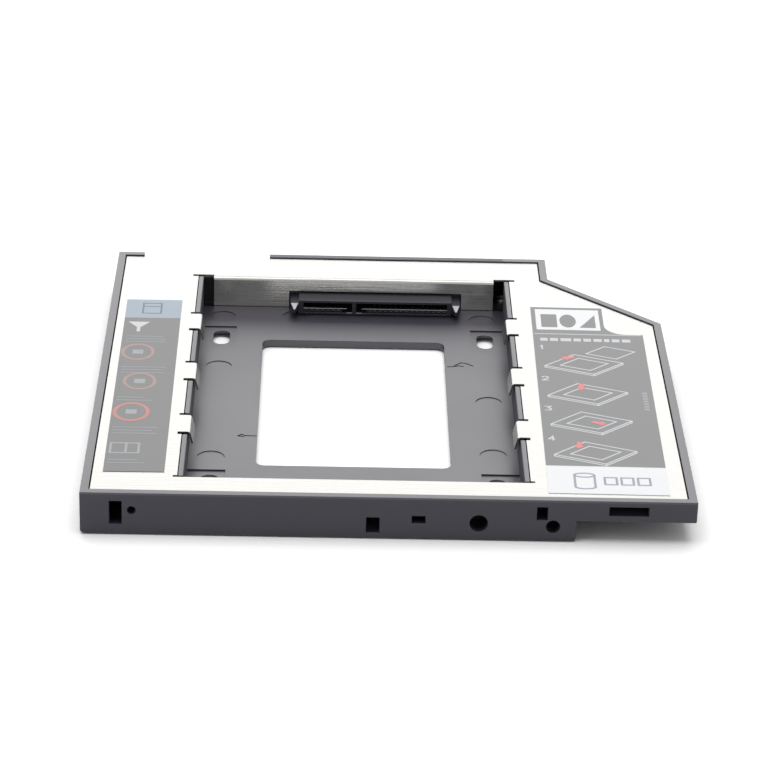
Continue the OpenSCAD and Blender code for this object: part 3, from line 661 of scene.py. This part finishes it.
def grown(piece_name, source_mesh, tree, values):
    """Runs a Geometry Nodes tree on a mesh once and returns the result as a plain object."""
    carrier = bpy.data.objects.new(piece_name + "_carrier", source_mesh)
    bpy.context.scene.collection.objects.link(carrier)
    modifier = carrier.modifiers.new("grow", "NODES")
    modifier.node_group = tree
    for item in tree.interface.items_tree:
        if item.in_out == "INPUT" and item.name in values:
            modifier[item.identifier] = values[item.name]
    graph = bpy.context.evaluated_depsgraph_get()
    mesh = bpy.data.meshes.new_from_object(carrier.evaluated_get(graph))
    mesh.name = piece_name
    carrier.modifiers.remove(modifier)
    bpy.data.objects.remove(carrier)
    piece = bpy.data.objects.new(piece_name, mesh)
    bpy.context.scene.collection.objects.link(piece)
    return piece


LINE_WORK = line_work_tree()
print("tree:", LINE_WORK.name, "with", len(LINE_WORK.nodes), "nodes")

# %% [markdown]
# Each sticker was put on by hand, so each is turned by a fraction of a degree. Marks are laid out on
# a sticker in its own millimetres, u across and v along, from its near left corner, and one function
# takes them to the plate with the sticker's turn.

# %% Lay out marks on a sticker
FILM_MM = 0.012


class Sticker:
    """One printed sticker: where its near left corner lies, how it is turned, and its top face."""

    def __init__(self, node_name, corner_mm, turn_deg):
        self.node_name = node_name
        self.corner = corner_mm
        self.turn = math.radians(turn_deg)
        self.top = ruler(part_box(node_name)[1]).z

    def place(self, u, v, layer):
        """A mark's point in the frame, on the given layer of ink."""
        x = self.corner[0] + u * math.cos(self.turn) - v * math.sin(self.turn)
        y = self.corner[1] + u * math.sin(self.turn) + v * math.cos(self.turn)
        return at(x, y, self.top + layer * FILM_MM)

    def finish(self, piece):
        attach(piece, "root")
        print(piece.name, "has", len(piece.data.polygons), "faces")
        return piece

    def patches(self, name, outlines, layer, ink, slot):
        """Filled shapes, each an outline raised by one film of ink."""
        shape = bmesh.new()
        for outline in outlines:
            foot = [shape.verts.new(self.place(u, v, layer)) for u, v in outline]
            head = [shape.verts.new(self.place(u, v, layer + 1)) for u, v in outline]
            shape.faces.new(head)
            shape.faces.new(list(reversed(foot)))
            for i in range(len(outline)):
                j = (i + 1) % len(outline)
                shape.faces.new((foot[i], foot[j], head[j], head[i]))
        bmesh.ops.recalc_face_normals(shape, faces=shape.faces)
        mesh = bpy.data.meshes.new(name)
        shape.to_mesh(mesh)
        shape.free()
        mesh.materials.append(ink)
        piece = bpy.data.objects.new(name, mesh)
        bpy.context.scene.collection.objects.link(piece)
        return self.finish(piece)

    def lines(self, name, strokes, width_mm, layer, ink, slot):
        """Lines of one width, each stroke a list of points that is followed edge by edge."""
        points, edges = [], []
        for stroke in strokes:
            first = len(points)
            points += [self.place(u, v, layer + 0.5) for u, v in stroke]
            edges += [(first + i, first + i + 1) for i in range(len(stroke) - 1)]
        wire = bpy.data.meshes.new(name + "_wire")
        wire.from_pydata(points, edges, [])
        values = {"Line width": width_mm * MM, "Film height": FILM_MM * MM, "Ink": ink}
        return self.finish(grown(name, wire, LINE_WORK, values))


def box_shape(u0, v0, u1, v1):
    """A rectangle from two corners."""
    return [(u0, v0), (u1, v0), (u1, v1), (u0, v1)]


def round_shape(u, v, across, along, steps=40):
    """An oval round a middle point, with its two half sizes."""
    turn = 2 * math.pi / steps
    return [(u + across * math.cos(i * turn), v + along * math.sin(i * turn)) for i in range(steps)]


def closed(outline):
    """The stroke that goes round an outline and back to its start."""
    return outline + outline[:1]


left_sticker = Sticker("left_label", (4.15, 10.2), 0.27)
right_sticker = Sticker("right_label", (97.15, 3.8), -0.55)
print("sticker tops at", round(left_sticker.top, 2), "mm")

# %% [markdown]
# The left sticker is a tall grey field under a pale blue head. It carries a column of plain marks:
# three faded red rings with a small shape inside, and short pale bars between them. The marks are
# generic, and only their colours and sizes follow what such a sticker has.

# %% Print the left sticker
LEFT_W, LEFT_L = 12.85, 88.1
HEAD_L = 10.3
RINGS = ((4.05, 59.2, 3.38, 4.0), (5.28, 43.9, 3.35, 4.0), (4.3, 28.4, 3.6, 4.2))
BAR_BLOCKS = ((1.2, 67.6, 3), (1.0, 51.2, 3), (1.0, 35.6, 2), (0.9, 20.8, 3), (0.9, 5.4, 2))
BAR_STEP = 1.45


def bar_rows(blocks, longest, seed):
    """Rows of short bars that fill blocks, as (u, v, number of rows), like lines of small print."""
    pick = random.Random(seed)
    rows = []
    for u, v, count in blocks:
        for i in range(count):
            rows.append([(u, v - i * BAR_STEP), (u + longest * pick.uniform(0.55, 1.0), v - i * BAR_STEP)])
    return rows


def print_left_sticker():
    """All the marks of the left sticker, one piece for each ink."""
    s = left_sticker
    s.patches("left_head", [box_shape(0.02, LEFT_L - HEAD_L, LEFT_W - 0.02, LEFT_L - 0.02)], 0, header_ink, "left_label_print")
    case = closed(box_shape(4.0, 80.4, 8.2, 86.0))
    shelf = [(4.0, 84.2), (8.2, 84.2)]
    s.lines("left_head_mark", [case, shelf], 0.42, 1, icon_ink, "left_label_print")
    funnel = [(1.0, 75.6), (6.0, 75.6), (3.9, 72.6), (3.9, 70.2), (3.1, 70.2), (3.1, 72.6)]
    s.patches("left_funnel", [funnel], 0, line_ink, "left_label_print")
    s.lines("left_rings", [closed(round_shape(*ring)) for ring in RINGS[:2]], 0.75, 0, ring_ink, "left_label_print")
    s.lines("left_warm_ring", [closed(round_shape(*RINGS[2]))], 0.8, 0, warm_ring_ink, "left_label_print")
    inner = [box_shape(u - 1.2, v - 1.1, u + 1.2, v + 1.1) for u, v, across, along in RINGS]
    s.patches("left_ring_hearts", inner, 0, pale_ink, "left_label_print")
    s.lines("left_small_bars", bar_rows(BAR_BLOCKS, 9.6, 5), 0.45, 0, faint_ink, "left_label_print")
    page = closed(box_shape(0.9, 8.6, 6.9, 13.2))
    fold = [(4.2, 8.6), (4.2, 13.2)]
    s.lines("left_page", [page, fold], 0.55, 0, pale_ink, "left_label_print")


print_left_sticker()

# %% [markdown]
# The right sticker is a grey field on white paper, with a die-cut upper corner. Four plain numbers
# count four small drawings of a tray, each a flat box seen from above one corner, with a coral arrow.
# One function draws a tray from its middle and its size, so the four drawings are one loop.

# %% Print the right sticker's field
RIGHT_W, RIGHT_L = 25.4, 94.4
CUT_W, CUT_L, CUT_R = 8.7, 14.5, 4.8
FIELD_FOOT = 12.6
EDGE = 0.02


def field_outline():
    """The grey field: the sticker's own outline, cut off along a straight foot."""
    neck = RIGHT_W - CUT_W
    bend_v = RIGHT_L - CUT_L
    steps = 12
    hollow = [
        (
            neck + CUT_R - CUT_R * math.cos(math.pi / 2 * i / steps),
            bend_v + CUT_R - CUT_R * math.sin(math.pi / 2 * i / steps),
        )
        for i in range(steps, -1, -1)
    ]
    foot = [(EDGE, FIELD_FOOT), (RIGHT_W - EDGE, FIELD_FOOT), (RIGHT_W - EDGE, bend_v - EDGE)]
    return foot + [(u - EDGE, v - EDGE) for u, v in hollow] + [(neck - EDGE, RIGHT_L - EDGE), (EDGE, RIGHT_L - EDGE)]


right_sticker.patches("right_field", [field_outline()], 0, field_print, "right_label_print")

# %% [markdown]
# A digit is a few straight strokes, as on a plain counter, so it can go through the same tree as the
# rest of the line work.

# %% Numbers and tray drawings
DIGITS = {
    1: [[(0.25, 0.75), (0.5, 1.0), (0.5, 0.0)]],
    2: [[(0.0, 0.8), (0.2, 1.0), (0.8, 1.0), (1.0, 0.8), (1.0, 0.6), (0.0, 0.0), (1.0, 0.0)]],
    3: [[(0.0, 1.0), (1.0, 1.0), (0.45, 0.58), (0.95, 0.4), (0.95, 0.15), (0.7, 0.0), (0.0, 0.05)]],
    4: [[(0.75, 0.0), (0.75, 1.0), (0.0, 0.3), (1.0, 0.3)]],
}
DIGIT_W, DIGIT_H = 1.25, 1.9
NUMBER_V = (71.2, 54.6, 39.3, 24.6)
DRAWING_V = (63.3, 48.0, 33.6, 18.9)
DRAWING_U = 10.9


def digit(number, u, v):
    """The strokes of one digit from its lower left corner."""
    return [[(u + x * DIGIT_W, v + y * DIGIT_H) for x, y in stroke] for stroke in DIGITS[number]]


def slanted(u, v, a, b):
    """A point on a drawn tray: a steps along its long side and b along its short side."""
    return (u + a * 5.4 + b * 3.4, v - a * 2.0 + b * 3.1)


def tray_drawing(u, v):
    """A flat tray seen from above one corner: an outer frame, a bay and the near side's height."""
    outer = [slanted(u, v, a, b) for a, b in ((-1, -1), (1, -1), (1, 1), (-1, 1))]
    bay = [slanted(u, v, a, b) for a, b in ((-0.6, -0.62), (0.62, -0.62), (0.62, 0.62), (-0.6, 0.62))]
    skirt = [outer[0], (outer[0][0], outer[0][1] - 0.8), (outer[1][0], outer[1][1] - 0.8), outer[1]]
    side = [(outer[1][0], outer[1][1] - 0.8), (outer[2][0], outer[2][1] - 0.8), outer[2]]
    return [closed(outer), closed(bay), skirt, side]


def arrow(u, v, heading):
    """A short broad arrow that points along a heading in degrees."""
    shape = [(-1.6, -0.55), (0.2, -0.55), (0.2, -1.15), (1.7, 0.0), (0.2, 1.15), (0.2, 0.55), (-1.6, 0.55)]
    c, s = math.cos(math.radians(heading)), math.sin(math.radians(heading))
    return [(u + x * c - y * s, v + x * s + y * c) for x, y in shape]


def print_drawings():
    """The four numbered drawings with their arrows."""
    strokes, heads = [], []
    for v in DRAWING_V:
        strokes += tray_drawing(DRAWING_U, v)
    loose_drive = [slanted(DRAWING_U + 6.6, DRAWING_V[0] + 6.2, a, b) for a, b in ((-0.7, -0.6), (0.55, -0.6), (0.55, 0.7), (-0.7, 0.7))]
    strokes.append(closed(loose_drive))
    for number, v in enumerate(NUMBER_V, start=1):
        strokes += digit(number, 1.2, v)
    right_sticker.lines("right_drawings", strokes, 0.36, 1, line_ink, "right_label_print")
    places = ((7.4, 66.6, 200), (9.6, 51.4, 265), (12.6, 33.4, 340), (7.6, 22.4, 265))
    heads = [arrow(*place) for place in places]
    right_sticker.patches("right_arrows", heads, 2, arrow_ink, "right_label_print")


print_drawings()

# %% [markdown]
# The head of the right sticker is a white block with three plain shapes knocked out of it, a thin
# rule and a row of bars where a line of print would be. The white foot carries a small outlined drum
# and three outlined boxes in lilac grey.

# %% Head and foot of the right sticker
def print_head():
    """White block, knocked-out shapes, rule and bars."""
    s = right_sticker
    s.patches("right_head_block", [box_shape(1.0, 81.8, 15.8, 93.2)], 1, white_paper, "right_label_print")
    square = box_shape(2.2, 83.2, 5.9, 90.4)
    disc = round_shape(8.4, 86.8, 1.9, 3.6, 28)
    wedge = [(11.0, 83.2), (14.8, 83.2), (14.8, 90.4)]
    s.patches("right_head_shapes", [square, disc, wedge], 2, field_print, "right_label_print")
    s.lines("right_rule", [[(0.5, 79.5), (24.7, 79.5)]], 0.35, 1, line_ink, "right_label_print")
    pick = random.Random(11)
    bars, u = [], 1.6
    while u < 22.6:
        length = pick.uniform(0.9, 2.6)
        bars.append(box_shape(u, 75.6, min(u + length, 23.9), 77.2))
        u += length + 0.55
    s.patches("right_bars", bars, 1, line_ink, "right_label_print")
    marks = [box_shape(23.0, 40.2 + i * 1.35, 24.1, 41.1 + i * 1.35) for i in range(7)]
    s.patches("right_side_marks", marks, 1, pale_ink, "right_label_print")


def print_foot():
    """The drum and the three boxes on the white foot."""
    s = right_sticker
    drum_u, drum_half, low, high = 7.9, 2.1, 3.1, 8.4
    lid = closed(round_shape(drum_u, high, drum_half, 0.9, 24))
    belly = [(drum_u + drum_half * math.cos(a), low - 0.9 * math.sin(a)) for a in [math.pi * i / 12 for i in range(13)]]
    body = [(drum_u + drum_half, high)] + belly + [(drum_u - drum_half, high)]
    boxes = [closed(box_shape(u, 4.3, u + 2.5, 7.5)) for u in (12.1, 15.6, 19.1)]
    s.lines("right_foot_marks", [lid, body, *boxes], 0.5, 0, lilac_ink, "right_label_print")


print_head()
print_foot()

# %% [markdown]
# Behind the flange every contact ends in a solder joint on the board. A joint is a small dome that
# the molten tin pulled up the leg, and 35 of them repeat along two rows. A second tree puts one dome
# on every point of a mesh. The points come from the contacts themselves.

# %% Solder every contact
def solder_tree():
    """Geometry Nodes: one flattened dome of solder on each point."""
    tree = bpy.data.node_groups.new("solder_joints", "GeometryNodeTree")
    face = tree.interface
    face.new_socket("Feet", in_out="INPUT", socket_type="NodeSocketGeometry")
    face.new_socket("Width", in_out="INPUT", socket_type="NodeSocketFloat")
    face.new_socket("Length", in_out="INPUT", socket_type="NodeSocketFloat")
    face.new_socket("Height", in_out="INPUT", socket_type="NodeSocketFloat")
    face.new_socket("Solder", in_out="INPUT", socket_type="NodeSocketMaterial")
    face.new_socket("Joints", in_out="OUTPUT", socket_type="NodeSocketGeometry")
    given = add(tree, "NodeGroupInput").outputs
    ball = add(tree, "GeometryNodeMeshUVSphere", {"Segments": 12, "Rings": 8, "Radius": 0.5})
    size = add(
        tree, "ShaderNodeCombineXYZ",
        {"X": given["Width"], "Y": given["Length"], "Z": given["Height"]},
    )
    domes = add(
        tree, "GeometryNodeInstanceOnPoints",
        {"Points": given["Feet"], "Instance": ball.outputs["Mesh"], "Scale": size.outputs["Vector"]},
    )
    solid = add(tree, "GeometryNodeRealizeInstances", {"Geometry": domes.outputs["Instances"]})
    smooth = add(tree, "GeometryNodeSetShadeSmooth", {"Geometry": solid.outputs["Geometry"]})
    tinned = add(
        tree, "GeometryNodeSetMaterial",
        {"Geometry": smooth.outputs["Geometry"], "Material": given["Solder"]},
    )
    add(tree, "NodeGroupOutput", {"Joints": tinned.outputs["Geometry"]})
    return tree


def contact_feet(row, end):
    """The middle of each contact's foot: at the rear end of a drive contact, the front end of a host contact."""
    feet = []
    for name in sorted(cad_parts):
        if not name.startswith(row) or "contact" not in name:
            continue
        low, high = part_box(name)
        y = high.y - 0.65 * MM if end == "rear" else low.y + 0.6 * MM
        feet.append(((low.x + high.x) / 2, y, low.z + 0.1 * MM))
    return feet


def solder(piece_name, feet):
    """One piece of solder joints for a row of contacts."""
    points = bpy.data.meshes.new(piece_name + "_points")
    points.from_pydata(feet, [], [])
    values = {"Width": 0.86 * MM, "Length": 1.25 * MM, "Height": 0.55 * MM, "Solder": solder_tin}
    piece = grown(piece_name, points, SOLDER, values)
    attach(piece, "root")
    print(piece_name, "joints:", len(feet))


SOLDER = solder_tree()
solder("drive_solder", contact_feet("drive_", "rear"))
solder("host_solder", contact_feet("host_", "front"))

# %% [markdown]
# The lower lips of the socket's two slots and the slanted tips of its guide posts catch the light as
# thin pale lines, the brightest spots at the rear of the bay. They are a painted highlight: the line
# tree lays a thin pale strip along each lip, with a lower piece at each slot's keyed end, and each post
# tip gets a thin pale facet.

# %% Painted highlights on the drive socket's lips and posts
SOCKET_X = 61.9
NOSE_Y = 108.0
LIP_Z, KEY_Z = 3.55, 2.45
LIP_RUNS = ((-16.9, -6.9), (-3.1, 17.0))
KEY_RUNS = ((-6.7, -5.6), (-4.4, -3.3))


def lay_lip_highlights():
    """Pale strips on the socket's lips: a painted highlight."""
    points, edges = [], []
    for runs, z in ((LIP_RUNS, LIP_Z), (KEY_RUNS, KEY_Z)):
        for start, end in runs:
            first = len(points)
            points += [at(SOCKET_X + start, NOSE_Y + 0.06, z), at(SOCKET_X + end, NOSE_Y + 0.06, z)]
            edges.append((first, first + 1))
    wire = bpy.data.meshes.new("lip_glint_wire")
    wire.from_pydata(points, edges, [])
    values = {"Line width": 0.17 * MM, "Film height": 0.10 * MM, "Ink": socket_highlight_ink}
    piece = grown("painted_lip_highlight", wire, LINE_WORK, values)
    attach(piece, "root")
    print("lip highlight runs:", len(edges))


POST_X = 19.175
TIP_Y, TIP_Z, TIP_HALF = 106.05, 4.0, 0.16
ROOT_Y, ROOT_Z, ROOT_HALF = 107.9, 4.81, 0.82


def lay_post_tip_highlights():
    """A thin pale facet on the slanted tip of each guide post: a painted highlight."""
    shape = bmesh.new()
    for side in (-1, 1):
        x = SOCKET_X + side * POST_X
        plan = [(x - TIP_HALF, TIP_Y, TIP_Z), (x + TIP_HALF, TIP_Y, TIP_Z)]
        plan += [(x + ROOT_HALF, ROOT_Y, ROOT_Z), (x - ROOT_HALF, ROOT_Y, ROOT_Z)]
        foot = [shape.verts.new(at(*p)) for p in plan]
        head = [shape.verts.new(at(p[0], p[1], p[2] + 0.03)) for p in plan]
        shape.faces.new(head)
        shape.faces.new(foot[::-1])
        for i in range(4):
            shape.faces.new((foot[i], foot[(i + 1) % 4], head[(i + 1) % 4], head[i]))
    bmesh.ops.recalc_face_normals(shape, faces=shape.faces)
    mesh = bpy.data.meshes.new("painted_post_tip_highlight")
    shape.to_mesh(mesh)
    shape.free()
    mesh.materials.append(socket_highlight_ink)
    piece = bpy.data.objects.new("painted_post_tip_highlight", mesh)
    bpy.context.scene.collection.objects.link(piece)
    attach(piece, "root")
    print("post tip highlights:", len(mesh.polygons) // 6)


def painted_socket_highlight():
    """Pale nylon for the painted highlights on the socket, its tone drifting with a faint 0.9 mm mottle."""
    material, tree, shader, place = start_material("painted_socket_highlight")
    scratches = add(tree, "ShaderNodeTexNoise", {"Vector": place, "Scale": per_metre(0.9), "Detail": 4.0})
    tree.links.new(two_tones(tree, scratches.outputs["Fac"], "#b9b9c2", "#d9d9e0"), shader.inputs["Base Color"])
    shader.inputs["Roughness"].default_value = 0.35
    return material


# Pale nylon for the painted highlights on the socket's lips and post tips.
socket_highlight_ink = painted_socket_highlight()
lay_lip_highlights()
lay_post_tip_highlights()

# %% [markdown]
# The mould left two thin scars on the bay's floor, where the plastic flowed in beside the window and
# the gate was twisted off. They are shallow and follow a short stroke of listed points. They are a
# little darker than the floor, and that is painted shade, standing for the shade of their small relief.

# %% Scars of the two gates
SCAR_LEFT = ((35.4, 42.9), (33.0, 43.0), (32.2, 43.6), (31.4, 42.8), (32.6, 42.5))
SCAR_RIGHT = ((78.5, 80.4), (79.8, 80.5), (80.6, 81.6), (81.6, 82.7), (82.9, 82.2), (84.3, 81.0))
SCAR_HEART = ((80.2, 80.7), (81.1, 81.0), (82.0, 80.7))


def gate_scars():
    """Hairlines on the floor beside the window, darkened with painted shade."""
    floor_top = 1.8
    points, edges = [], []
    for stroke in (SCAR_LEFT, SCAR_RIGHT, SCAR_HEART):
        first = len(points)
        points += [at(x, y, floor_top + 0.01) for x, y in stroke]
        edges += [(first + i, first + i + 1) for i in range(len(stroke) - 1)]
    wire = bpy.data.meshes.new("gate_scars_wire")
    wire.from_pydata(points, edges, [])
    values = {"Line width": 0.34 * MM, "Film height": 0.02 * MM, "Ink": scar_shade_abs}
    piece = grown("gate_scars", wire, LINE_WORK, values)
    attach(piece, "root")
    print("scar bars:", len(edges))


def shaded_scar_abs():
    """The tray's plastic painted darker, as shade on the scars' small relief, and without a sheen."""
    material, tree, shader, place = start_material("shaded_scar_abs")
    tear = add(tree, "ShaderNodeTexNoise", {"Vector": place, "Scale": per_metre(0.4), "Detail": 5.0})
    tree.links.new(two_tones(tree, tear.outputs["Fac"], "#1d1b21", "#2e2c33"), shader.inputs["Base Color"])
    shader.inputs["Roughness"].default_value = 0.9
    shader.inputs["Specular IOR Level"].default_value = 0.2
    return material


# The scars' darker plastic is painted shade for their small relief.
scar_shade_abs = shaded_scar_abs()
gate_scars()
